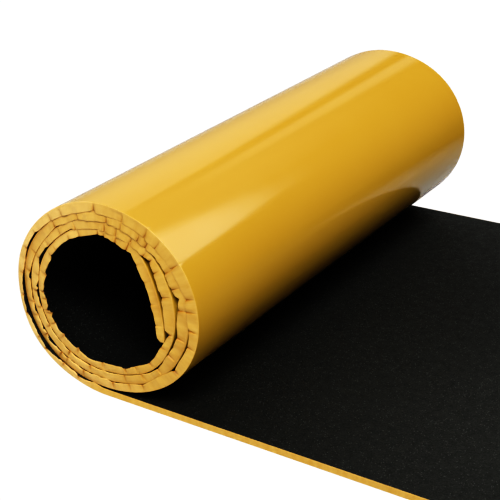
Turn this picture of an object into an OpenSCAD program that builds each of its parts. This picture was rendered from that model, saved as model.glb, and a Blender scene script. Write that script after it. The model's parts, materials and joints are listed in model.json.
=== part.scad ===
// Acoustic foam sheet with a film facing, rolled up from one end.
// X runs along the sheet's length, Y along the axis of the roll, and Z up.
// The origin is on the floor below the middle of the roll.

/* [Sheet] */
// Width of the sheet, along the axis of the roll
sheet_w = 1000; // [500:10:1500]
// Full length of the sheet when it is laid out flat
sheet_l = 5000; // [4150:50:10000]
// Thickness of foam and film together
sheet_t = 13; // [6:0.5:16]
// Thickness of the film facing
film_t = 0.5; // [0.3:0.1:1]

/* [Roll] */
// Overall height of the roll
roll_h = 379; // [340:1:460]
// Angle that the sheet winds through before its inner end springs free
wound_angle = 1284; // [900:6:1440]
// How far the roll bulges beyond a circle on the side away from the flat sheet
bulge_back = 12; // [0:1:30]
// How far the roll bulges beyond a circle on the side towards the flat sheet
bulge_front = 28; // [0:1:40]
// How far the top of the roll leans forward over its foot
lean = 17; // [0:1:22]
// How far the shoulder at the lower back fills out
shoulder_back = 3; // [0:0.5:6]

/* [Gaps between turns] */
// Gap below the middle of the roll
gap_bottom = 4.5; // [1:0.5:8]
// Gap at the back of the roll
gap_back = 4; // [1:0.5:10]
// Gap at the top of the roll
gap_top = 2; // [1:0.5:8]
// Gap at the front of the roll, over the flat sheet
gap_front = 8; // [1:0.5:12]
// How far the turn outside the free end sags towards it
front_sag = 9; // [0:1:12]

/* [Free inner end] */
// Angle of the kink where the inner end leaves the turn outside it
kink_angle = 34; // [30:1:46]
// Bend radius of the kink, at the film
kink_r = 30; // [25:1:45]
// How far round the roll the tip lies from the kink
tip_ahead = 86; // [70:1:95]
// Gap between the tip and the turn outside it
tip_gap = 2; // [1:0.5:8]

/* [Hidden] */
// Largest angle between two points of a wound turn, and of the kink
turn_step = 6;
kink_step = 3;
turn_steps = ceil(wound_angle / turn_step);
kink_steps = ceil(kink_angle / kink_step);
// Straight pieces that the inner end is drawn with after the kink
free_steps = 8;
// The point of the turn outside where the inner end leaves it
kink_at = wound_angle - 360;
// Where that turn sags most, and how far the sag reaches to either side
sag_middle = kink_at + 51;
sag_reach = 65;
// The spiral's radius before any turn has closed in: its top is half a turn in
start_r = (roll_h + (sheet_t + gap_top) / 2) / 2;

function total(list, i = 0) = i < len(list) ? list[i] + total(list, i + 1) : 0;
function unit(v) = v / norm(v);

// The gap between neighbouring turns, by the angle from the foot of the roll, backwards and up
function turn_gap(a) = (sin(a) > 0 ? gap_back : gap_front) * pow(sin(a), 2)
                     + (cos(a) > 0 ? gap_bottom : gap_top) * pow(cos(a), 2);
// How far each turn stands out of a circle. The shoulder's sines peak at a quarter, hence the 4
function bulge(a) = sin(a) > 0
    ? bulge_back * pow(sin(a), 2) + 4 * shoulder_back * pow(sin(a), 2) * cos(a) * abs(cos(a))
    : bulge_front * pow(sin(a), 2);
function sag(a) = abs(a - sag_middle) < sag_reach
    ? front_sag * pow(cos(90 * (a - sag_middle) / sag_reach), 2) : 0;
// The outer face of the winding, by the same angle
function turn_r(a) = start_r - a / 360 * (sheet_t + turn_gap(a)) + bulge(a) - sag(a);
function wound_point(a) = [-turn_r(a) * sin(a) - lean * cos(a), start_r - turn_r(a) * cos(a)];

// The outer line of the roll in section, from the foot to the end of the wound turns
wound_line = [for (i = [0 : turn_steps]) wound_point(wound_angle * i / turn_steps)];

// The free inner end: two arcs that go on from the last wound point, each in the way the line last went
function heading(way) = atan2(way[1], way[0]);
function turned(from, to) = from - to - 360 * round((from - to) / 360);
function arc_line(from, heading, r, angle, steps) = [for (i = [1 : steps])
    from + r * [sin(heading) - sin(heading - angle * i / steps),
                cos(heading - angle * i / steps) - cos(heading)]];
function way_at(a) = unit(wound_point(a + 0.5) - wound_point(a - 0.5));
function inwards(way) = [way[1], -way[0]];
last_heading = heading(wound_point(wound_angle) - wound_point(wound_angle - 1));
kink_line = arc_line(wound_point(wound_angle), last_heading, kink_r, kink_angle, kink_steps);
kink_end = kink_line[kink_steps - 1];
free_heading = last_heading - kink_angle;
// The tip lies off the inner face of the turn outside it, and one arc from the kink ends there
tip_at = kink_at + tip_ahead;
tip = wound_point(tip_at) + (sheet_t + tip_gap) * inwards(way_at(tip_at));
free_angle = 2 * turned(free_heading, heading(tip - kink_end));
free_r = norm(tip - kink_end) / (2 * sin(free_angle / 2));
free_line = arc_line(kink_end, free_heading, free_r, free_angle, free_steps);

rolled_line = concat(wound_line, kink_line, free_line);
last = len(rolled_line) - 1;
// The side of each point that faces the inside of the roll
rolled_side = [for (i = [0 : last])
    let (way = unit(rolled_line[min(i + 1, last)] - rolled_line[max(i - 1, 0)]))
    i == 0 ? [0, 1] : inwards(way)];
function layer_line(depth) = [for (i = [0 : last]) rolled_line[i] + depth * rolled_side[i]];

// What the rolled stretch takes up at mid thickness, so that the flat stretch gets the rest
mid_line = layer_line(sheet_t / 2);
rolled_l = total([for (i = [1 : last]) norm(mid_line[i] - mid_line[i - 1])]);
flat_end = rolled_line[0][0] + sheet_l - rolled_l;

// One layer of the sheet in section, between two depths below the outer face
module layer_section(depth_out, depth_in) {
    outer = layer_line(depth_out);
    inner = layer_line(depth_in);
    polygon(concat(
        [[flat_end, depth_out]],
        outer,
        [for (i = [last : -1 : 0]) inner[i]],
        [[flat_end, depth_in]]));
}

// Stands a section up and gives it a width along the axis of the roll
module across(width) {
    rotate([90, 0, 0]) linear_extrude(width, center = true) children();
}

module foam_sheet() {
    color("#141412") across(sheet_w - 2 * film_t) layer_section(film_t, sheet_t);
}

// The film covers the outer face and is turned up over both long edges
module film_facing() {
    color("#e0a82a") {
        across(sheet_w) layer_section(0, film_t);
        for (side = [-1, 1])
            translate([0, side * (sheet_w - film_t) / 2, 0]) across(film_t) layer_section(0, sheet_t);
    }
}

foam_sheet();
film_facing();
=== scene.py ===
import json
from math import cos, pi, radians, sin

import bpy
import numpy as np
from mathutils import Matrix, Vector

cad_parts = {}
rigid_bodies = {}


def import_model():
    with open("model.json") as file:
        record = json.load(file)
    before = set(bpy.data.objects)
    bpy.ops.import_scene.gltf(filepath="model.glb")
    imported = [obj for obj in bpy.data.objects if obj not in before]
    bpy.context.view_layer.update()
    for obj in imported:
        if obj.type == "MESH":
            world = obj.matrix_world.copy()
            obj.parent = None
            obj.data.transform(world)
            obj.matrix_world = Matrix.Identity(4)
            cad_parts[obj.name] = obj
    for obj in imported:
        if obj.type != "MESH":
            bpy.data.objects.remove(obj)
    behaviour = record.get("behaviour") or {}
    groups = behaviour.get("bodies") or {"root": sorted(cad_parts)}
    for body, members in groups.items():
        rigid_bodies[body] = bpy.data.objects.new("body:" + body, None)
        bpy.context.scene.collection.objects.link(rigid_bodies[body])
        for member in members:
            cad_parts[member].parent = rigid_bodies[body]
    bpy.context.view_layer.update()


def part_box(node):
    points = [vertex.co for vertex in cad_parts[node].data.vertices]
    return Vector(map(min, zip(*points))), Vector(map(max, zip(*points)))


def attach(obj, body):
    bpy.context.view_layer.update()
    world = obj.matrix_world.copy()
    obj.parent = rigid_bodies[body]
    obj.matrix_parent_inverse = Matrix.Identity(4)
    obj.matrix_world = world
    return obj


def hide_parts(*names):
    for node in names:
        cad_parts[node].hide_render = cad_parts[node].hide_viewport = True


# A foam sheet faced with glossy film, rolled up from one end.
# Lengths are in metres unless a note says mm, and angles are in degrees.
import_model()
mm = 0.001
halfWidth = 0.5     # of the sheet, along Y


# Camera

cameraSetup = dict(
    place=(1.3019, -1.8812, 1.1531),
    turn=35.5,          # round the object, to the right of straight on
    down=24.99,         # below the horizon
    tilt=-2.98,         # about the line of sight
    lens=88.3,
)


def makeCamera(v):
    data = bpy.data.cameras.new("camera")
    data.lens, data.sensor_width = v["lens"], 36
    data.clip_start, data.clip_end = 0.05, 60
    camera = bpy.data.objects.new("camera", data)
    camera.matrix_world = (Matrix.Translation(v["place"])
                           @ Matrix.Rotation(radians(v["turn"]), 4, "Z")
                           @ Matrix.Rotation(radians(90 - v["down"]), 4, "X")
                           @ Matrix.Rotation(radians(v["tilt"]), 4, "Z"))
    bpy.context.scene.collection.objects.link(camera)
    bpy.context.scene.camera = camera


makeCamera(cameraSetup)
print("camera made")


# Contrast of the view: how bright the light makes a place, and how bright it is shown, both linear

contrast = ((0, 0), (0.02, 0.0015), (0.046, 0.0065), (0.07, 0.015), (0.122, 0.042), (0.185, 0.088),
            (0.28, 0.185), (0.445, 0.39), (0.608, 0.6), (0.8, 0.8), (1, 1))


def setContrast(points):
    # The curve has its two end points from the start
    view = bpy.context.scene.view_settings
    view.view_transform = "Standard"
    view.use_curve_mapping = True
    combined = view.curve_mapping.curves[3]
    for x, y in points[1:-1]:
        combined.points.new(x, y)
    view.curve_mapping.update()


setContrast(contrast)


# The line that the sheet follows in section: its outer face, from the flat end to the free end

rolledLine = dict(
    height=0.379, thickness=0.013,
    woundAngle=1284,                # from the foot, backwards and up
    bulgeBack=0.012, bulgeFront=0.028, lean=0.017, shoulderBack=0.003,
    gapBottom=0.0045, gapBack=0.004, gapTop=0.002, gapFront=0.008,
    sag=0.009, sagMiddle=975, sagReach=65,
    kinkAngle=34, kinkRadius=0.030,
    tipAhead=86, tipGap=0.002,
    startX=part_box("film_facing")[1].x,
    angleStep=0.5, flatPoints=200, kinkPoints=17, freePoints=60,    # how finely it is drawn
)


def gapAt(v, a):
    # The space between turns: the back or front gap by sin squared, the bottom or top gap by cos squared
    s, c = np.sin(np.radians(a)), np.cos(np.radians(a))
    sideways = np.where(s > 0, v["gapBack"], v["gapFront"])
    upright = np.where(c > 0, v["gapBottom"], v["gapTop"])
    return sideways * s**2 + upright * c**2


def woundPoint(v, a):
    # A circle that closes in by one thickness and one gap a turn, bulges at the back and the front, has a
    # squarer shoulder at the lower back, sags once, and leans forward
    s, c = np.sin(np.radians(a)), np.cos(np.radians(a))
    startR = (v["height"] + (v["thickness"] + v["gapTop"]) / 2) / 2
    back = v["bulgeBack"] * s**2 + 4 * v["shoulderBack"] * s**2 * c * abs(c)
    bulge = np.where(s > 0, back, v["bulgeFront"] * s**2)
    sagTurn = np.clip((a - v["sagMiddle"]) / v["sagReach"], -1, 1)
    sag = v["sag"] * np.cos(sagTurn * pi / 2) ** 2
    r = startR - a / 360 * (v["thickness"] + gapAt(v, a)) + bulge - sag
    return np.stack([-r * s - v["lean"] * c, startR - r * c], -1)


def arcFrom(start, heading, radius, angle, steps):
    # Points of an arc that starts along heading and turns clockwise through angle
    turned = heading - angle * np.arange(1, steps + 1) / steps
    return start + radius * np.stack([sin(heading) - np.sin(turned), np.cos(turned) - cos(heading)], -1)


def headingOf(way):
    return np.arctan2(way[1], way[0])


def makeLine(v):
    # The flat run, the spiral, the kink and one arc that ends just inside the turn outside it
    a = np.arange(0, v["woundAngle"] + v["angleStep"] / 2, v["angleStep"])
    wound = woundPoint(v, a)
    flatX = np.linspace(v["startX"], wound[0, 0], v["flatPoints"])[:-1]
    flat = np.stack([flatX, np.zeros_like(flatX)], -1)
    heading = headingOf(wound[-1] - wound[-2])
    kink = arcFrom(wound[-1], heading, v["kinkRadius"], radians(v["kinkAngle"]), v["kinkPoints"])
    tipAt = v["woundAngle"] - 360 + v["tipAhead"]
    way = woundPoint(v, tipAt + v["angleStep"]) - woundPoint(v, tipAt - v["angleStep"])
    way = way / np.linalg.norm(way)
    tip = woundPoint(v, tipAt) + (v["thickness"] + v["tipGap"]) * np.array([way[1], -way[0]])
    heading = heading - radians(v["kinkAngle"])
    chord = tip - kink[-1]
    angle = 2 * ((heading - headingOf(chord) + pi) % (2 * pi) - pi)
    free = arcFrom(kink[-1], heading, np.linalg.norm(chord) / (2 * sin(angle / 2)), angle, v["freePoints"])
    points = np.concatenate([flat, wound, kink, free])
    along = np.concatenate([[0], np.cumsum(np.linalg.norm(np.diff(points, axis=0), axis=1))])
    way = np.gradient(points, along, axis=0)
    way /= np.linalg.norm(way, axis=1)[:, None]
    inward = np.stack([way[:, 1], -way[:, 0]], -1)
    foot = len(flat)
    return dict(points=points, along=along, inward=inward, length=along[-1],
                angles=a, woundAlong=along[foot:foot + len(a)], kinkAt=along[foot + len(a) - 1])


line = makeLine(rolledLine)
print("sheet line made, length", round(line["length"], 3))


def alongAt(angle):
    # Metres along the sheet from its flat end, for an angle round the turns
    return np.interp(angle, line["angles"], line["woundAlong"])


def angleAt(along):
    return np.interp(along, line["woundAlong"], line["angles"])


def onLine(along, depth):
    # The point that lies depth inwards of the outer face, along metres from the flat end
    def pick(table):
        return np.stack([np.interp(along, line["along"], table[:, i]) for i in (0, 1)], -1)
    return pick(line["points"]) + depth[..., None] * pick(line["inward"])


def bell(x, middle, width):
    return np.exp(-((x - middle) / width) ** 2)


# Where the film creases along the near edge. Each entry is the angle round the turn, how far the film
# reaches over the edge in mm, and how hard it creases there, from 0 for a smooth place to 9. On the tongue,
# the free inner end, the first number is the share of its length.

creases = dict(
    turns=(
        ((2, 13, 0), (8, 17, 0), (13, 13, 0), (20, 11, 5), (24, 15, 0), (32, 15, 5), (40, 11, 0),
         (46, 5, 9), (48, 8.5, 0), (54, 10.5, 6), (60, 10, 0), (67, 10, 0), (69, 5.5, 9), (75, 8, 0),
         (80, 10, 7), (82, 11.5, 0), (94, 13, 4), (99, 15, 0), (104, 15.3, 0), (111, 12.5, 5),
         (124, 11.6, 2), (128, 15.5, 0), (140, 16.6, 3), (150, 18.5, 3), (160, 19.5, 0), (168, 18, 0),
         (175, 14.5, 8), (177, 19, 0), (195, 19.5, 5), (204, 20, 0), (212, 22, 7), (221, 23, 5),
         (236, 23.5, 8), (246, 23, 0), (255, 20, 7), (257, 23, 0), (262, 24, 6), (269, 23, 0),
         (273, 18.5, 6), (283, 16.5, 8), (292, 18, 0), (300, 16.5, 0), (302, 13.5, 9), (304, 17.5, 0),
         (314, 21.6, 0), (322, 19, 0), (330, 14.8, 5), (340, 17.5, 5), (346, 16.6, 0), (353, 14.8, 8)),
        ((0, 17, 0), (8, 17.8, 0), (14, 15, 0), (17, 13.5, 7), (24, 15, 0), (31, 15.5, 3), (37, 15, 7),
         (43, 13, 0), (49, 10, 0), (51, 13, 0), (53, 17, 8), (57, 12, 0), (63, 15.6, 0), (67, 14, 3),
         (70, 12.6, 0), (76, 15, 4), (79, 12.8, 0), (83, 15.8, 0), (91, 14, 0), (94, 11.5, 0),
         (97, 13.5, 4), (105, 15.8, 0), (112, 16, 4), (128, 17, 0), (134, 15.8, 0), (140, 13.6, 9),
         (145, 15.6, 0), (153, 16.4, 0), (161, 15.5, 5), (166, 18, 0), (176, 18, 0), (184, 16.4, 9),
         (189, 17.6, 0), (195, 18.3, 3), (203, 19.4, 0), (209, 20, 6), (216, 20, 8), (225, 16.5, 0),
         (237, 20, 6), (243, 23, 0), (248, 22, 6), (252, 19, 0), (254, 12.6, 0), (256, 15.8, 0),
         (262, 19.5, 8), (271, 24.5, 0), (281, 19.6, 7), (290, 20.5, 0), (296, 20.6, 6), (305, 18, 0),
         (311, 15, 4), (318, 14.5, 0), (326, 16, 4), (341, 16, 5), (352, 16.6, 0)),
        ((0, 16, 0), (12, 14.5, 5), (22, 15, 0), (32, 15, 8), (40, 16.8, 0), (48, 16, 0), (57, 15.5, 6),
         (67, 16.8, 0), (72, 14, 4), (79, 13, 0), (84, 11, 9), (86, 14, 0), (88, 11.8, 0), (93, 16.6, 0),
         (97, 16, 3), (103, 15.6, 0), (107, 11.8, 0), (110, 9.5, 4), (121, 11, 0), (125, 14, 3),
         (140, 14.4, 3), (152, 13, 0), (155, 16.8, 4), (168, 18.4, 0), (176, 18.2, 0), (182, 19.6, 7),
         (192, 20.4, 6), (205, 19.6, 9), (214, 16.6, 0), (219, 15.5, 5), (222, 13, 0), (225, 10.5, 7),
         (228, 14.5, 0), (234, 17, 5), (240, 20, 0), (245, 23, 0), (249, 20.5, 0), (253, 18.6, 5),
         (256, 22, 0), (264, 23.6, 0), (271, 21.6, 0), (279, 18, 0), (281, 8.5, 8), (285, 12.6, 0),
         (289, 14, 0), (294, 15.4, 5), (300, 15.8, 0), (308, 13, 0), (313, 11.5, 8), (320, 13, 0),
         (328, 13.4, 3), (334, 12, 0), (338, 10.8, 8), (344, 14, 0), (352, 15.6, 0)),
        ((0, 14.6, 4), (7, 12.4, 0), (16, 12.4, 0), (24, 14.6, 0), (26, 20, 5), (28, 17, 0),
         (36, 17.4, 0), (42, 17.5, 0), (44, 21, 6), (47, 16.8, 0), (57, 14.6, 4), (63, 16, 0),
         (66, 20, 5), (68, 14, 0), (69, 9.8, 6), (73, 15.2, 0), (78, 13.4, 4), (84, 11, 9), (89, 13, 0),
         (97, 15.6, 0), (100, 17.6, 5), (102, 12.8, 0), (108, 14.6, 0), (115, 15.8, 0), (119, 11.6, 4),
         (127, 12.8, 3), (137, 12.2, 0), (145, 12.2, 4), (156, 14.4, 4), (166, 15.4, 0), (175, 12.4, 7),
         (181, 13, 4), (185, 15.4, 0), (192, 17, 5), (200, 20, 0)),
    ),
    tongue=(
        (0.0, 18, 9), (0.1, 15, 0), (0.22, 15.5, 2), (0.34, 16, 0), (0.4, 14.5, 2), (0.52, 14.5, 0),
        (0.62, 14.5, 2), (0.75, 14, 0), (0.84, 14, 2), (0.94, 13, 0), (0.98, 11, 0), (1.0, 7, 0),
    ),
    flatReach=12.7,             # mm, all along the flat run
    flatMargin=0.02,            # how far before the foot the flat run's reach ends
    hardest=9, seed=11,
    farShift=0.4,               # how far a crease on the far edge may shift, as a share of the room it has
    farRoll=9,                  # the far edge takes each reach from this many places before
    farClear=0.4,               # mm that they stay clear of the next turn
    close=(0.6, 1.6, 3.4),      # mm from a crease where a column follows it
    closeShare=0.4,             # such columns keep to this share of the way to the next crease
    flatStep=0.028, step=0.0075,        # metres between the other columns, on the flat run and on the roll
)


def makeColumns(v):
    # The places across which the mesh is drawn: the creases, a few columns close to each, and even steps
    # between. segment is the number of the crease before each column, and share its way to the next one.
    near = [(alongAt(360 * turn + angle), reach, hard)
            for turn, rows in enumerate(v["turns"]) for angle, reach, hard in rows]
    tongueLength = line["length"] - line["kinkAt"]
    near += [(line["kinkAt"] + f * tongueLength, reach, hard) for f, reach, hard in v["tongue"]]
    start = [(0, v["flatReach"], 0), (float(alongAt(0)) - v["flatMargin"], v["flatReach"], 0)]
    place, reach, hard = np.array(start + near).T
    # The far edge has creases of its own, a little before or after the near edge's. Both edges share the
    # flat run's places, the first on the roll and the last.
    same = len(start) + 1
    rng = np.random.default_rng(v["seed"])
    room = np.minimum(np.diff(place, prepend=-1), np.diff(place, append=place[-1] + 1))
    shift = rng.uniform(-v["farShift"], v["farShift"], len(place)) * room
    shift[:same] = shift[-1] = 0
    farReach, farHard = np.roll(reach[same:-1], v["farRoll"]), rng.permutation(hard[same:-1])
    mostReach = (rolledLine["thickness"] + gapAt(rolledLine, angleAt(place[same:-1]))) / mm - v["farClear"]
    farReach = np.minimum(farReach, mostReach)
    ends = [dict(place=place, reach=reach, hard=hard / v["hardest"]),
            dict(place=place + shift, reach=np.concatenate([reach[:same], farReach, reach[-1:]]),
                 hard=np.concatenate([hard[:same], farHard, hard[-1:]]) / v["hardest"])]
    close = np.array(v["close"]) * mm
    segment, share = [], []
    for k in range(len(place) - 1):
        length = place[k + 1] - place[k]
        left = close / length if hard[k] else np.zeros(0)
        right = 1 - close / length if hard[k + 1] else np.ones(0)
        left, right = left[left < v["closeShare"]], right[right > 1 - v["closeShare"]][::-1]
        a, b = (left[-1] if len(left) else 0), (right[0] if len(right) else 1)
        step = v["flatStep"] if k == 0 else v["step"]
        between = np.linspace(a, b, int(np.ceil((b - a) * length / step)) + 1)[1:-1]
        u = np.concatenate([[0], left, between, right])
        segment.append(np.full(len(u), k))
        share.append(u)
    segment, share = np.concatenate(segment + [[len(place) - 2]]), np.concatenate(share + [[1]])
    return ends, segment, share, place[same - 1]


ends, segment, share, rolledFrom = makeColumns(creases)
facetCount = len(ends[0]["place"]) - 1
print("columns", len(share), "creases", int((ends[0]["hard"] > 0).sum()))

reliefShape = dict(
    # The end face, in mm
    leanOut=0.9, recess=0.8, recessBack=1.6,    # the film's edge stands out and the outer fold lies deeper
    step=0.55, tilt=2.8, pillow=0.9, bulge=0.9, wrinkle=0.4,        # the most that a facet has of each
    tilts=(-1, 0.1), pillows=(0.2, 1), bulges=(-0.3, 1), waves=(1, 3),      # what each is drawn from
    joint=1.0, groove=2.6, grooveWidth=0.9,     # at the creases
    dent=0.8, dentReach=3.0, dentAcross=0.3,    # the outer fold's dents there, and how far across they go
    foldOut=4.0, foldReach=10.0, rimOut=3.8,    # how the outer fold swells out, and the first turn's rim
    tongueRoom=((0, 0.3, 0.8, 1), (3, 6, 5, 2)),                    # the gap beside the tongue, along it
    # Shares
    roomFilled=(0.52, 0.43),                    # of the gap that the fold swells into, and more at the back
    risenAt=0.4, pillowAtFold=0.3, grooveAtFold=0.25, grooveFrom=0.05,      # across the end face
    # The film's colour darkens by painted shade in the creases, beside the outer folds and along the tongue,
    # and by a random tone on each facet
    paintedCreaseShade=1.4, creaseShadePower=0.6, tone=0.14, flatTone=0.1,
    shadeBack=0.5, shadeInner=0.12, shadeFront=0.2, shadeTongue=0.3,
    tongueShade=((0.1, 0.4, 0.65, 0.85), (0, 1, 1, 0)),             # along it
    # The film's colour is made paler by painted sheen of the white surroundings, most at the back of the
    # turns
    paintedSheenFirst=0.85, paintedSheenInner=0.42,
    paintedSheenLevel=0.6, paintedSheenSwing=1.2, paintedSheenTone=3,   # the swing goes by the angle's sine, and the tone takes away
    # mm: how wide the creases' painted shade is, and how far the folds' painted shade reaches over the outer
    # face
    creaseShadeWidth=2.4, gloomReach=60.0,            # mm
    rollIn=0.05, turnIn=0.1,                    # metres over which the roll and its inner turns set in
    # The middle and the width of what changes round the turns, in degrees from the foot
    atBack=(415, 75), atFront=(660, 45), atRim=(56, 20),
    # Degrees by which the painted sheen's swing is turned
    paintedSheenTurn=10,
    # The stretch just above the flat run: its middle, and the cosine where it begins and how far it rises
    overFlat=257, overFlatFrom=0.5, overFlatRise=0.32,
)

filmShape = dict(       # mm, but for the counts of rows and the shares
    thick=0.3, turnedIn=1.2, pastCorner=0.8,
    turnedInTight=0.2,                          # the share of it that is turned in where the edge is tight
    rimFold=1.1, backFold=3.0, innerFold=2.2,   # bend radius of the outer fold
    backRise=1.4,                               # how soon it grows towards the back of the roll
    looseFold=1.1, tightFold=0.7,               # bend radius of the fold at the film's own edge
    looseReach=16.5, looseOver=1.5,             # a reach shorter than this leaves that edge loose
    leastFace=0.4,
    outerRows=(4, 10, 6), innerRows=(2, 4, 3),  # over the lip, across the end face, round the outer fold
    outerInsets=(6, 10, 15, 22, 80, 280, 500, 720, 920, 978, 985, 990, 994),
    innerInsets=(6, 10, 15, 22, 280, 720, 978, 985, 990, 994),
)


class Edge:
    # One long edge of the sheet: where its columns lie, how far the film reaches over it, and its relief

    def __init__(self, v, end, seed):
        rng = np.random.default_rng(seed)
        self.v = v
        self.place = end["place"][segment] + share * np.diff(end["place"])[segment]
        self.angle = angleAt(self.place)
        self.onTongue = (self.place - line["kinkAt"]) / (line["length"] - line["kinkAt"])
        # rolled is 0 on the flat run, and inner is 0 on the first turn too
        self.rolled = np.clip((self.place - rolledFrom) / v["rollIn"], 0, 1)
        self.inner = np.clip((self.place - alongAt(360)) / v["turnIn"] + 0.5, 0, 1) * self.rolled
        self.atBack = bell(self.angle, *v["atBack"])
        self.makeFacets(end, rng)
        self.makeFolds(filmShape)
        self.paintShadeToneAndSheen(rng)

    def makeFacets(self, end, rng):
        # Each facet starts standing out and ends deeper, so the next one steps out of its crease.
        # before and after are how far it is in mm to the creases on each side.
        v = self.v
        length = np.diff(end["place"])[segment]
        self.before, self.after = share * length / mm, (1 - share) * length / mm
        self.hardBefore, self.hardAfter = end["hard"][segment], end["hard"][segment + 1]
        bulge = rng.uniform(*v["bulges"], facetCount) * v["bulge"]
        reach = end["reach"][segment] * (1 - share) + end["reach"][segment + 1] * share
        self.reach = reach + 4 * share * (1 - share) * bulge[segment] * self.rolled
        middle = rng.uniform(-1, 1, facetCount) * v["step"]
        slope = rng.uniform(*v["tilts"], facetCount) * v["tilt"]
        self.pillow = rng.uniform(*v["pillows"], facetCount)[segment] * v["pillow"]
        self.phase = rng.uniform(0, 1, facetCount)[segment]
        self.waves = rng.uniform(*v["waves"], facetCount)[segment]
        low, high = middle - slope / 2, middle + slope / 2
        joint = np.concatenate([low[:1], (high[:-1] + low[1:]) / 2, high[-1:]])
        self.plane = low[segment] * (1 - share) + high[segment] * share
        self.plane += (joint[segment] - low[segment]) * bell(self.before, 0, v["joint"])
        self.plane += (joint[segment + 1] - high[segment]) * bell(self.after, 0, v["joint"])
        self.groove = self.atCreases(1, v["grooveWidth"])

    def atCreases(self, power, width):
        # The crease on each side by how hard it is, falling off exponentially
        return (self.hardBefore**power * np.exp(-self.before / width)
                + self.hardAfter**power * np.exp(-self.after / width))

    def makeFolds(self, film):
        # Inside the first turn the outer fold lies deeper than the film's edge, and swells out into the gap
        # that it has, but not over the flat run. The first turn's swells out only at the lower back.
        v = self.v
        self.recess = (v["recess"] + v["recessBack"] * self.atBack) * self.inner
        gap = gapAt(rolledLine, self.angle) / mm
        room = np.where(self.onTongue < 0, gap, np.interp(self.onTongue, *v["tongueRoom"]))
        cosine = np.cos(np.radians(self.angle - v["overFlat"]))
        overFlat = np.clip((cosine - v["overFlatFrom"]) / v["overFlatRise"], 0, 1) * (self.onTongue < 0)
        filled, filledBack = v["roomFilled"]
        swollen = np.minimum(v["foldOut"], (filled + filledBack * self.atBack) * room)
        self.foldOut = swollen * (1 - overFlat) * self.inner + v["rimOut"] * bell(self.angle, *v["atRim"])
        # The first turn's outer fold is rounder at the back of the roll
        backwards = np.clip(film["backRise"] * np.sin(np.radians(self.angle)), 0, 1)
        first = film["rimFold"] + (film["backFold"] - film["rimFold"]) * backwards * self.rolled
        self.corner = first + (film["innerFold"] - first) * self.inner
        # Where the film's own edge is free its fold is loose, and where the next turn holds it it is tight
        self.reach = np.maximum(self.reach, self.corner + film["looseFold"] + film["leastFace"])
        self.loose = np.clip((film["looseReach"] - self.reach) / film["looseOver"], 0, 1) * self.rolled
        self.fold = film["tightFold"] + (film["looseFold"] - film["tightFold"]) * self.loose

    def paintShadeToneAndSheen(self, rng):
        # How dark the film is painted: painted shade in the creases and beside the outer fold, and a random
        # tone on each facet
        v = self.v
        # Painted shade in the creases
        self.paintedCreaseShade = v["paintedCreaseShade"] * self.atCreases(v["creaseShadePower"], v["creaseShadeWidth"])
        tone = rng.uniform(0, 1, facetCount)[segment]
        self.tone = tone * v["tone"] * self.rolled + v["flatTone"] * (1 - self.rolled)
        atFront = bell(self.angle, *v["atFront"])
        # Painted shade beside the outer folds of the inner turns, most at the back and the front, and along
        # the tongue
        turns = self.inner * (v["shadeInner"] + v["shadeBack"] * self.atBack + v["shadeFront"] * atFront)
        self.shade = turns + v["shadeTongue"] * np.interp(self.onTongue, *v["tongueShade"])
        # Painted sheen, a paler colour for the white surroundings mirrored: most at the back of the first
        # turn, and less in the facets that are dark
        sine = np.sin(np.radians(self.angle + v["paintedSheenTurn"]))
        behind = np.clip(v["paintedSheenLevel"] + v["paintedSheenSwing"] * sine, 0, 1)
        behind = behind * (1 - v["paintedSheenTone"] * self.tone) * self.rolled
        self.paintedSheen = behind * (v["paintedSheenFirst"] + (v["paintedSheenInner"] - v["paintedSheenFirst"]) * self.inner)

    def swell(self, inset, across=0):
        # Metres that the fold swells out: a bell curve of the distance from the edge, 0 at the film's lip
        return self.foldOut * mm * bell(inset / mm, 0, self.v["foldReach"]) * (1 - across) ** 2

    def acrossAt(self, depth):
        # 0 at the outer fold and 1 at the fold where the film ends, from a depth in mm
        return np.clip((depth - self.corner) / (self.reach - self.fold - self.corner), 0, 1)

    def darkness(self, across, onFace):
        # The creases' painted shade grows with across, the fold's painted shade falls with its square, each
        # facet has a random tone
        return np.clip(self.paintedCreaseShade * across + (self.shade * (1 - across) ** 2 + self.tone) * onFace, 0, 1)

    def gloom(self, inset):
        # The fold's painted shade goes on over the outer face and fades by a bell curve of the distance in
        return self.shade * bell(inset / mm, 0, self.v["gloomReach"])

    def outward(self, across):
        # Metres that the end face stands out. across is 0 at the outer fold and 1 where the film ends.
        # Flat facets that step and tilt at each crease, pillowed between, with a groove at the crease.
        v, pillowAt, grooveAt = self.v, self.v["pillowAtFold"], self.v["grooveAtFold"]
        rise = np.clip(across / v["risenAt"], 0, 1)
        rise = rise**2 * (3 - 2 * rise)
        pillow = self.pillow * 4 * share * (1 - share) * (pillowAt + (1 - pillowAt) * across)
        wrinkle = v["wrinkle"] * np.sin(2 * pi * (self.waves * share + self.phase)) * across
        out = rise * (self.plane + pillow + wrinkle) + v["leanOut"] * across
        out = out - self.recess * (1 - across) ** 2
        deep = np.clip(grooveAt + (1 - grooveAt) * across, 0, 1)
        out -= v["groove"] * self.groove * deep * np.clip(across / v["grooveFrom"], 0, 1)
        return out * self.rolled * mm


nearEdge, farEdge = Edge(reliefShape, ends[0], 21), Edge(reliefShape, ends[1], 22)


def placeRows(depth, inset, side, edge):
    # Rows near one edge: side is -1 for the near edge and 1 for the far one, inset is metres in from it
    xz = onLine(np.broadcast_to(edge.place, depth.shape), depth)
    return np.stack([xz[..., 0], side * (halfWidth - inset), xz[..., 1]], -1)


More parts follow.
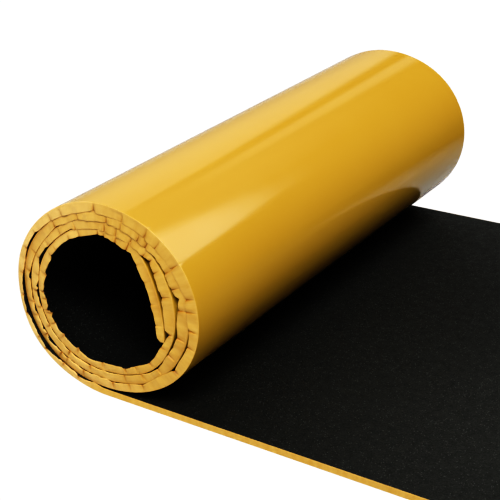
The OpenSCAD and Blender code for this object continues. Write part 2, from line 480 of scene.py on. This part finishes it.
def rowsAcross(insets, depth, swelled=1.0, slide=0.92):
    # Rows on a broad face between the two edges. Columns slide from the near edge's places to the far
    # edge's, by a smooth step over slide metres.
    insets = np.asarray(insets)[:, None]
    y = insets - halfWidth
    depth = depth - swelled * (nearEdge.swell(insets) + farEdge.swell(1 - insets))
    w = np.clip((y + slide / 2) / slide, 0, 1)
    w = w * w * (3 - 2 * w)
    along = nearEdge.place * (1 - w) + farEdge.place * w
    xz = onLine(along, np.broadcast_to(depth, along.shape))
    return np.stack([xz[..., 0], np.broadcast_to(y, along.shape), xz[..., 1]], -1), along


def filmEdgeRows(v, edge, skin, counts):
    # From the film's own edge: turned in, over the lip, across the end face, round the outer fold.
    # Every row is a depth below the outer face and an inset from the end. skin is 0 on the film's outside
    # and 1 on its inside.
    lipRows, faceRows, cornerRows = counts
    t = skin * v["thick"]
    corner, reach, fold = edge.corner, edge.reach, edge.fold
    tight = v["turnedInTight"]
    rows = [(reach - t, fold + v["turnedIn"] * (tight + (1 - tight) * edge.loose), 1.0)]
    for f in np.radians(np.linspace(90, 0, lipRows)):
        rows.append((reach - fold + (fold - t) * sin(f), fold - (fold - t) * cos(f), 1.0))
    for across in np.linspace(1, 0, faceRows + 2)[1:-1]:
        rows.append((corner + (reach - fold - corner) * across, t + 0 * reach, across))
    for f in np.radians(np.linspace(0, 90, cornerRows)):
        rows.append((corner - (corner - t) * sin(f), corner - (corner - t) * cos(f), 0.0))
    rows.append((t + 0 * corner, corner + v["pastCorner"], 0.0))
    depth = np.array([r[0] for r in rows]) * mm
    across = np.array([r[2] for r in rows])[:, None]
    inset = np.array([r[1] for r in rows]) * mm - edge.outward(across)
    # The creases dent the outer fold a little
    dent = edge.v["dent"] * edge.groove * edge.rolled * bell(inset / mm, 0, edge.v["dentReach"])
    dent = dent * (across < edge.v["dentAcross"])
    # 1 on the end face, falling to 0 round the outer fold
    turned = np.array([1.1 - r[1] / corner for r in rows])
    onFace = np.where(across > 0, 1, np.clip(turned, 0, 1))
    return depth + dent * mm - edge.swell(inset, across), inset, across + 0 * depth, onFace


def closeLoop(rowCount, columnCount):
    # Quads of a closed loop of rows carried along the columns
    r, c = np.meshgrid(np.arange(rowCount), np.arange(columnCount - 1), indexing="ij")
    below, above = r * columnCount + c, (r + 1) % rowCount * columnCount + c
    return np.stack([below, below + 1, above + 1, above], -1).reshape(-1, 4)


def meshFrom(name, points, faces, smooth, values, uv):
    # The first faces are smooth, the rest flat. values are named numbers for each vertex, and uv is metres
    # along and across.
    mesh = bpy.data.meshes.new(name)
    mesh.from_pydata(points.tolist(), [], faces)
    for label, value in values.items():
        layer = mesh.attributes.new(label, "FLOAT", "POINT")
        layer.data.foreach_set("value", value.astype(np.float32).ravel())
    corner = np.zeros(len(mesh.loops), np.int32)
    mesh.loops.foreach_get("vertex_index", corner)
    mesh.uv_layers.new(name="alongAcross").uv.foreach_set("vector", uv[corner].astype(np.float32).ravel())
    mesh.validate()
    mesh.polygons.foreach_set("use_smooth", np.arange(len(mesh.polygons)) < smooth)
    mesh.update()
    piece = bpy.data.objects.new(name, mesh)
    bpy.context.scene.collection.objects.link(piece)
    return piece


def checkFacing(piece):
    # The signed volume is positive when the faces point outwards
    mesh = piece.data
    co = np.zeros(len(mesh.vertices) * 3)
    mesh.vertices.foreach_get("co", co)
    mesh.calc_loop_triangles()
    tri = np.zeros(len(mesh.loop_triangles) * 3, np.int32)
    mesh.loop_triangles.foreach_get("vertices", tri)
    a, b, c = co.reshape(-1, 3)[tri.reshape(-1, 3)].transpose(1, 0, 2)
    volume = np.einsum("ij,ij->i", a, np.cross(b, c)).sum() / 6
    if volume < 0:
        mesh.flip_normals()
    print(piece.name, "triangles", len(tri) // 3, "volume", round(abs(volume) * 1e6, 1), "cm3")


def filmRows(v, skin, counts, insets):
    # All rows of one side of the film, from its near edge over the outer face to its far edge
    nearDepth, nearInset, nearAcross, nearFace = filmEdgeRows(v, nearEdge, skin, counts)
    farDepth, farInset, farAcross, farFace = filmEdgeRows(v, farEdge, skin, counts)
    insets = np.array(insets) * mm
    middle, along = rowsAcross(insets, skin * v["thick"] * mm)
    points = np.concatenate([placeRows(nearDepth, nearInset, -1, nearEdge), middle,
                             placeRows(farDepth, farInset, 1, farEdge)[::-1]])
    edge = np.concatenate([nearFace, 0 * along, farFace[::-1]])
    # Painted sheen on the end faces, none on the broad face
    paintedSheen = np.concatenate([nearEdge.paintedSheen * nearFace, 0 * along, farEdge.paintedSheen * farFace[::-1]])
    insets = insets[:, None]
    # Painted shade of the creases, the outer folds and the gaps, with each facet's random tone, and over the
    # outer face the folds' painted shade
    paintedShadeAndTone = np.concatenate([nearEdge.darkness(nearAcross, nearFace),
                             nearEdge.gloom(insets) + farEdge.gloom(1 - insets),
                             farEdge.darkness(farAcross, farFace)[::-1]])
    places = np.concatenate([nearEdge.place + 0 * nearDepth, along, farEdge.place + 0 * farDepth])
    # Across the sheet, unfolded: the depth counts on past each edge
    unfolded = np.concatenate([-halfWidth - nearDepth + nearInset, middle[..., 1],
                               (halfWidth + farDepth - farInset)[::-1]])
    return points, edge, paintedShadeAndTone, paintedSheen, np.stack([places, unfolded], -1)


def makeFilm(v):
    # The rows of its outer side and then of its inner side make a closed loop, carried along the columns
    outer = filmRows(v, 0, v["outerRows"], v["outerInsets"])
    inner = filmRows(v, 1, v["innerRows"], v["innerInsets"])
    outerCount, innerCount, columns = len(outer[0]), len(inner[0]), len(share)
    points, edge, paintedShadeAndTone, paintedSheen, uv = (np.concatenate([o, i[::-1]]) for o, i in zip(outer, inner))
    faces = closeLoop(outerCount + innerCount, columns).tolist()
    smooth = len(faces)
    # Both cut ends: every outer row is joined to the inner row nearest to it
    match = np.round(np.linspace(0, innerCount - 1, outerCount)).astype(int)
    inside = outerCount + innerCount - 1 - match
    for column, flip in ((0, True), (columns - 1, False)):
        for i in range(outerCount - 1):
            ring = [i, i + 1, inside[i + 1], inside[i]]
            if inside[i + 1] == inside[i]:
                ring.pop()
            face = [int(r) * columns + column for r in ring]
            faces.append(face if flip else face[::-1])
    piece = meshFrom("film_facing_crinkled", points.reshape(-1, 3), faces, smooth,
                     dict(edge=edge, paintedShadeAndTone=paintedShadeAndTone, paintedSheen=paintedSheen), uv.reshape(-1, 2))
    checkFacing(piece)
    return piece


foamShape = dict(       # mm
    behindFilm=0.6, cornerRadius=1.0,
    less=0.5, most=2.5,     # how much thinner or thicker it gets beside the film's edge, round the hole
    follow=14.0,            # how far in from the edge that goes on
    insets=(6, 10, 15, 22, 36, 90, 220),
    pastTip=4,              # degrees past the tip where the turns begin to face the hole
    holeRise=0.01,          # metres over which that sets in
)


def makeFoam(v):
    # A closed loop of rows: outer face from far to near, near end, inner face from near to far, far end
    thick = rolledLine["thickness"] / mm
    skin, radius = v["behindFilm"], v["cornerRadius"]
    holeFrom = alongAt(rolledLine["woundAngle"] - 360 + rolledLine["tipAhead"] + v["pastTip"])

    def edgeRows(edge):
        # The outer corner inside the film's fold, the end face, and the inner corner
        facingHole = np.clip((edge.place - holeFrom) / v["holeRise"], 0, 1)
        toFilm = np.clip(edge.reach - skin, thick - v["less"], thick + v["most"])
        back = thick + (toFilm - thick) * facingHole * edge.rolled
        corner, bend = edge.corner, edge.corner - skin
        rows = [(corner - bend * sin(f), corner - bend * cos(f)) for f in np.radians((90, 60, 30, 0))]
        rows += [(corner + (back - radius - corner) * f, skin + 0 * back) for f in (0.2, 0.4, 0.6, 0.8)]
        rows += [(back - radius + radius * sin(f), skin + radius - radius * cos(f) + 0 * back)
                 for f in np.radians((0, 40, 80))]
        depth, inset = (np.array([r[i] for r in rows]) for i in (0, 1))
        across = edge.acrossAt(depth)
        inset = inset * mm - edge.outward(across)
        return depth * mm - edge.swell(inset, across), inset, back

    nearDepth, nearInset, nearBack = edgeRows(nearEdge)
    farDepth, farInset, farBack = edgeRows(farEdge)
    half = np.array(v["insets"]) * mm
    insets = np.concatenate([half, [halfWidth], 1 - half[::-1]])
    outside, outAlong = rowsAcross(insets, skin * mm)
    nearFade = bell(insets[:, None] / mm, 0, v["follow"])
    farFade = bell((1 - insets[:, None]) / mm, 0, v["follow"])
    back = thick + (nearBack - thick) * nearFade + (farBack - thick) * farFade
    inside, inAlong = rowsAcross(insets, back * mm, 0)
    points = np.concatenate([outside[::-1], placeRows(nearDepth, nearInset, -1, nearEdge), inside,
                             placeRows(farDepth, farInset, 1, farEdge)[::-1]])
    places = np.concatenate([outAlong[::-1], nearEdge.place + 0 * nearDepth, inAlong,
                             farEdge.place + 0 * farDepth])
    uv = np.stack([places, points[..., 1]], -1)
    rows, columns, broad = len(points), len(share), len(insets)
    innerStart = broad + len(nearDepth)
    faces = closeLoop(rows, columns).tolist()
    smooth = len(faces)
    innerEnd = innerStart + broad - 1
    for column, flip in ((0, True), (columns - 1, False)):
        rings = [[i, i + 1, innerEnd - 1 - i, innerEnd - i] for i in range(broad - 1)]
        rings.append(list(range(broad - 1, innerStart + 1)))
        rings.append(list(range(innerEnd, rows)) + [0])
        for ring in rings:
            face = [r * columns + column for r in ring]
            faces.append(face if flip else face[::-1])
    piece = meshFrom("foam_layer", points.reshape(-1, 3), faces, smooth, {}, uv.reshape(-1, 2))
    checkFacing(piece)
    return piece


film = makeFilm(filmShape)
foam = makeFoam(foamShape)


# Materials

def newMaterial(name):
    material = bpy.data.materials.new(name)
    material.use_nodes = True
    nodes, links = material.node_tree.nodes, material.node_tree.links
    return material, nodes, links, nodes["Principled BSDF"]


def newGroup(name, numbers, output):
    # A node group that takes a vector and some numbers and puts out one number
    group = bpy.data.node_groups.new(name, "ShaderNodeTree")
    group.interface.new_socket(name="Vector", in_out="INPUT", socket_type="NodeSocketVector")
    for number in numbers:
        group.interface.new_socket(name=number, in_out="INPUT", socket_type="NodeSocketFloat")
    group.interface.new_socket(name=output, in_out="OUTPUT", socket_type="NodeSocketFloat")
    inputs, outputs = group.nodes.new("NodeGroupInput"), group.nodes.new("NodeGroupOutput")
    return group, group.nodes, group.links, inputs.outputs, outputs.inputs[output]


def makeUnevenness():
    # Soft patches of two sizes that change a colour, a gloss or a height a little
    group, nodes, links, given, result = newGroup("unevenness", ("Scale", "Low", "High"), "Value")
    noise, spread = nodes.new("ShaderNodeTexNoise"), nodes.new("ShaderNodeMapRange")
    noise.inputs["Detail"].default_value = 3
    spread.inputs["From Min"].default_value, spread.inputs["From Max"].default_value = 0.3, 0.7
    links.new(given["Vector"], noise.inputs["Vector"])
    links.new(given["Scale"], noise.inputs["Scale"])
    links.new(noise.outputs["Fac"], spread.inputs["Value"])
    links.new(given["Low"], spread.inputs["To Min"])
    links.new(given["High"], spread.inputs["To Max"])
    links.new(spread.outputs["Result"], result)
    return group


def makeSpecks():
    # Sparse dots: the middles of cells, kept only where the cell's own random number is low
    group, nodes, links, given, result = newGroup("specks", ("Scale", "Size", "Share"), "Mask")
    cells = nodes.new("ShaderNodeTexVoronoi")
    links.new(given["Vector"], cells.inputs["Vector"])
    links.new(given["Scale"], cells.inputs["Scale"])
    small = combine(nodes, links, "LESS_THAN", cells.outputs["Distance"], given["Size"])
    few = combine(nodes, links, "LESS_THAN", cells.outputs["Color"], given["Share"])
    links.new(combine(nodes, links, "MULTIPLY", small, few), result)
    return group


def placeGroup(nodes, links, group, vector, **values):
    node = nodes.new("ShaderNodeGroup")
    node.node_tree = group
    links.new(vector, node.inputs["Vector"])
    for name, value in values.items():
        node.inputs[name].default_value = value
    return node.outputs[0]


def mixColours(nodes, links, mask, first, second):
    # first and second are colours or sockets
    mix = nodes.new("ShaderNodeMix")
    mix.data_type = "RGBA"
    links.new(mask, mix.inputs["Factor"])
    for socket, value in ((mix.inputs[6], first), (mix.inputs[7], second)):
        if isinstance(value, tuple):
            socket.default_value = (*value, 1)
        else:
            links.new(value, socket)
    return mix.outputs[2]


def combine(nodes, links, operation, first, second):
    node = nodes.new("ShaderNodeMath")
    node.operation = operation
    links.new(first, node.inputs[0])
    links.new(second, node.inputs[1])
    return node.outputs[0]


def bump(nodes, links, height, strength, distance, normal=None):
    node = nodes.new("ShaderNodeBump")
    node.inputs["Strength"].default_value, node.inputs["Distance"].default_value = strength, distance
    links.new(height, node.inputs["Height"])
    if normal:
        links.new(normal, node.inputs["Normal"])
    return node.outputs["Normal"]


def ramp(nodes, links, vector, direction, low, high, toLow=0.0, toHigh=1.0):
    # A smooth step from toLow to toHigh, as the vector's dot product with a direction goes from low to high
    dot, step = nodes.new("ShaderNodeVectorMath"), nodes.new("ShaderNodeMapRange")
    dot.operation, step.interpolation_type = "DOT_PRODUCT", "SMOOTHSTEP"
    dot.inputs[1].default_value = direction
    links.new(vector, dot.inputs[0])
    links.new(dot.outputs["Value"], step.inputs["Value"])
    step.inputs["From Min"].default_value, step.inputs["From Max"].default_value = low, high
    step.inputs["To Min"].default_value, step.inputs["To Max"].default_value = toLow, toHigh
    return step.outputs["Result"]


unevenness, specks = makeUnevenness(), makeSpecks()

filmLook = dict(
    colour=(0.78, 0.475, 0.08), deep=(0.77, 0.462, 0.075), patchScale=7.0,
    # The end faces' own colour with painted sheen in it: paler and less saturated than the broad face's
    onEnd=(0.83, 0.54, 0.15), streak=(0.76, 0.465, 0.105), crinkleScale=125.0,      # on the end faces
    # Of the next two colours, the whitish one is painted sheen, and the dark amber one is painted shade,
    # also used for each facet's random tone
    paintedSheen=(1.0, 0.68, 0.28), shadeAndToneColour=(0.4, 0.165, 0.013),
    rough=(0.09, 0.12), roughScale=22.0, roughOnEnd=0.45,
    wave=0.08, waveDepth=0.0004, waveScale=9.0,         # slow waves on the broad face
    crinkle=0.2, crinkleDepth=0.0006,
)


def makeFilmMaterial(v):
    material, nodes, links, shader = newMaterial("golden film")
    coordinates = nodes.new("ShaderNodeTexCoord").outputs
    edge, paintedShadeAndTone, paintedSheen = (nodes.new("ShaderNodeAttribute") for _ in range(3))
    edge.attribute_name, paintedShadeAndTone.attribute_name, paintedSheen.attribute_name = "edge", "paintedShadeAndTone", "paintedSheen"
    onEnd = edge.outputs["Fac"]

    def uneven(vector, scale, low=0.0, high=1.0):
        return placeGroup(nodes, links, unevenness, vector, Scale=scale, Low=low, High=high)

    # Small crinkles run straight across the end face, so they are stretched along the second UV axis
    stretch = nodes.new("ShaderNodeVectorMath")
    stretch.operation = "MULTIPLY"
    stretch.inputs[1].default_value = (1, 0.2, 0)
    links.new(coordinates["UV"], stretch.inputs[0])
    crinkle = combine(nodes, links, "MULTIPLY", uneven(stretch.outputs["Vector"], v["crinkleScale"]), onEnd)
    base = mixColours(nodes, links, uneven(coordinates["Object"], v["patchScale"]), v["colour"], v["deep"])
    # Mixed over the film's colour in turn: the end faces' colour, crinkle streaks, painted sheen, and
    # painted shade with each facet's random tone
    for mask, colour in ((onEnd, v["onEnd"]), (crinkle, v["streak"]), (paintedSheen.outputs["Fac"], v["paintedSheen"]),
                         (paintedShadeAndTone.outputs["Fac"], v["shadeAndToneColour"])):
        base = mixColours(nodes, links, mask, base, colour)
    links.new(base, shader.inputs["Base Color"])
    rough = nodes.new("ShaderNodeMix")
    links.new(onEnd, rough.inputs["Factor"])
    links.new(uneven(coordinates["Object"], v["roughScale"], *v["rough"]), rough.inputs["A"])
    rough.inputs["B"].default_value = v["roughOnEnd"]
    links.new(rough.outputs["Result"], shader.inputs["Roughness"])
    broad = bump(nodes, links, uneven(coordinates["Object"], v["waveScale"]), v["wave"], v["waveDepth"])
    fine = bump(nodes, links, crinkle, v["crinkle"], v["crinkleDepth"], broad)
    links.new(fine, shader.inputs["Normal"])
    return material


foamLook = dict(
    colour=(0.0166, 0.0172, 0.016), light=(0.0291, 0.03, 0.0279), grainScale=420.0,
    speck=(0.072, 0.073, 0.07), speckScale=330.0, speckSize=0.3, speckShare=0.25,
    rough=(0.6, 0.75), roughScale=60.0, specular=0.12,
    grain=0.5, grainDepth=0.0008,
)


def makeFoamMaterial(v):
    material, nodes, links, shader = newMaterial("black foam")
    where = nodes.new("ShaderNodeTexCoord").outputs["Object"]
    grain = placeGroup(nodes, links, unevenness, where, Scale=v["grainScale"], Low=0.0, High=1.0)
    dots = placeGroup(nodes, links, specks, where,
                      Scale=v["speckScale"], Size=v["speckSize"], Share=v["speckShare"])
    low, high = v["rough"]
    gloss = placeGroup(nodes, links, unevenness, where, Scale=v["roughScale"], Low=low, High=high)
    base = mixColours(nodes, links, grain, v["colour"], v["light"])
    links.new(mixColours(nodes, links, dots, base, v["speck"]), shader.inputs["Base Color"])
    links.new(gloss, shader.inputs["Roughness"])
    shader.inputs["Specular IOR Level"].default_value = v["specular"]
    links.new(bump(nodes, links, grain, v["grain"], v["grainDepth"]), shader.inputs["Normal"])
    return material


film.data.materials.append(makeFilmMaterial(filmLook))
foam.data.materials.append(makeFoamMaterial(foamLook))
print("materials made")


# Floor and light

right, back, up = (1, 0, 0), (0, 1, 0), (0, 0, 1)

studio = dict(
    floorSize=12.0, floorBelow=0.0002, floorGlow=1.05,
    leftMirrored=0.48, leftFrom=(right, 0.05, -0.15),       # how bright the film mirrors the floor's left
    farMirrored=0.6, farUntil=((1.5, 1, 0), 1.9, 1.15),     # and the stretch that ends past the far edge
    suns=dict(
        front=dict(comesFrom=(0.44, -0.54, 0.865), angle=32, strength=3.5),
        behind=dict(comesFrom=(-0.75, 0.6, 0.25), angle=50, strength=2.6, mirrored=False),
    ),
    spots=dict(         # one with onto lights that piece alone
        overFlat=dict(place=(0.95, -0.25, 1.6), aim=(0.85, -0.4, 0), cone=46, power=76, size=0.15,
                      onto="foam_layer"),
        endLeft=dict(place=(-1.3, -1.7, 0.7), aim=(-0.2, -0.5, 0.18), cone=26, power=17, size=0.3),
    ),
    sky=0.03,           # what matt surfaces see of it
    panels=dict(        # what the film mirrors: each panel is a product of ramps
        backdrop=(((-1, 0, 0.1), 0.39, 0.46), (up, -0.05, 0.5, 0.42, 0.85), (up, 0.75, 0.6)),
        strip=((right, -0.30, -0.26), (right, -0.12, -0.2), (back, 0.66, 0.78, 0, 0.65)),
        corner=(((0.028, -0.523, 0.852), -0.005, 0.012), ((0.51, -0.64, 0.57), -0.015, 0.05, 0, 3.3),
                (back, -0.5, 0.1, 0.2)),        # dimmer towards the front
        ceiling=((up, 0.52, 0.68), (right, 0.35, 0.2, 0, 0.4)),
    ),
)


def makeFloor(v):
    # White to the camera. The film mirrors it dimmer, on the left and for a stretch past the far edge.
    n, z = v["floorSize"], -v["floorBelow"]
    mesh = bpy.data.meshes.new("floor")
    mesh.from_pydata([(-n, -n, z), (n, -n, z), (n, n, z), (-n, n, z)], [], [(0, 1, 2, 3)])
    floor = bpy.data.objects.new("floor", mesh)
    bpy.context.scene.collection.objects.link(floor)
    material, nodes, links, shader = newMaterial("pale floor")
    where = nodes.new("ShaderNodeTexCoord").outputs["Object"]
    left, far = ramp(nodes, links, where, *v["leftFrom"]), ramp(nodes, links, where, *v["farUntil"])
    seen = nodes.new("ShaderNodeLightPath").outputs["Is Camera Ray"]
    mirrored = mixColours(nodes, links, far, (0.0, 0.0, 0.0), (v["farMirrored"],) * 3)
    mirrored = mixColours(nodes, links, left, mirrored, (v["leftMirrored"],) * 3)
    links.new(mixColours(nodes, links, seen, mirrored, (0.0, 0.0, 0.0)), shader.inputs["Base Color"])
    links.new(seen, shader.inputs["Emission Strength"])
    shader.inputs["Emission Color"].default_value = (v["floorGlow"],) * 3 + (1,)
    shader.inputs["Roughness"].default_value = 0.9
    shader.inputs["Specular IOR Level"].default_value = 0.0
    mesh.materials.append(material)


def makeSun(name, v):
    data = bpy.data.lights.new(name, "SUN")
    data.energy, data.angle = v["strength"], radians(v["angle"])
    sun = bpy.data.objects.new(name, data)
    sun.rotation_euler = Vector(v["comesFrom"]).to_track_quat("Z", "Y").to_euler()
    sun.visible_glossy = v.get("mirrored", True)
    bpy.context.scene.collection.objects.link(sun)


def makeSpot(name, v):
    # Brightest in the middle of its cone
    data = bpy.data.lights.new(name, "SPOT")
    data.energy, data.shadow_soft_size = v["power"], v["size"]
    data.spot_size, data.spot_blend = radians(v["cone"]), 1
    spot = bpy.data.objects.new(name, data)
    spot.location, spot.visible_glossy = v["place"], False
    spot.rotation_euler = (Vector(v["place"]) - Vector(v["aim"])).to_track_quat("Z", "Y").to_euler()
    if "onto" in v:
        lit = bpy.data.collections.new(name)
        lit.objects.link(bpy.data.objects[v["onto"]])
        spot.light_linking.receiver_collection = lit
    bpy.context.scene.collection.objects.link(spot)


def makeSky(v):
    # White to the camera, dim to matt surfaces, and the brightest panel each way where the film mirrors it
    world = bpy.data.worlds.new("studio")
    world.use_nodes = True
    bpy.context.scene.world = world
    nodes, links = world.node_tree.nodes, world.node_tree.links
    way = nodes.new("ShaderNodeTexCoord").outputs["Generated"]
    brightest = None
    for ramps in v["panels"].values():
        panel = None
        for values in ramps:
            side = ramp(nodes, links, way, *values)
            panel = combine(nodes, links, "MULTIPLY", panel, side) if panel else side
        brightest = combine(nodes, links, "MAXIMUM", brightest, panel) if brightest else panel
    path = nodes.new("ShaderNodeLightPath")
    glossy, seen = nodes.new("ShaderNodeMix"), nodes.new("ShaderNodeMix")
    links.new(path.outputs["Is Glossy Ray"], glossy.inputs["Factor"])
    glossy.inputs["A"].default_value = v["sky"]
    links.new(brightest, glossy.inputs["B"])
    links.new(path.outputs["Is Camera Ray"], seen.inputs["Factor"])
    links.new(glossy.outputs["Result"], seen.inputs["A"])
    seen.inputs["B"].default_value = 1.0
    links.new(seen.outputs["Result"], nodes["Background"].inputs["Strength"])
    nodes["Background"].inputs["Color"].default_value = (1, 1, 1, 1)


makeFloor(studio)
for name, values in studio["suns"].items():
    makeSun(name, values)
for name, values in studio["spots"].items():
    makeSpot(name, values)
makeSky(studio)
print("studio made")


# The frame

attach(film, "root")
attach(foam, "root")
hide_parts("film_facing")
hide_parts("foam_sheet")
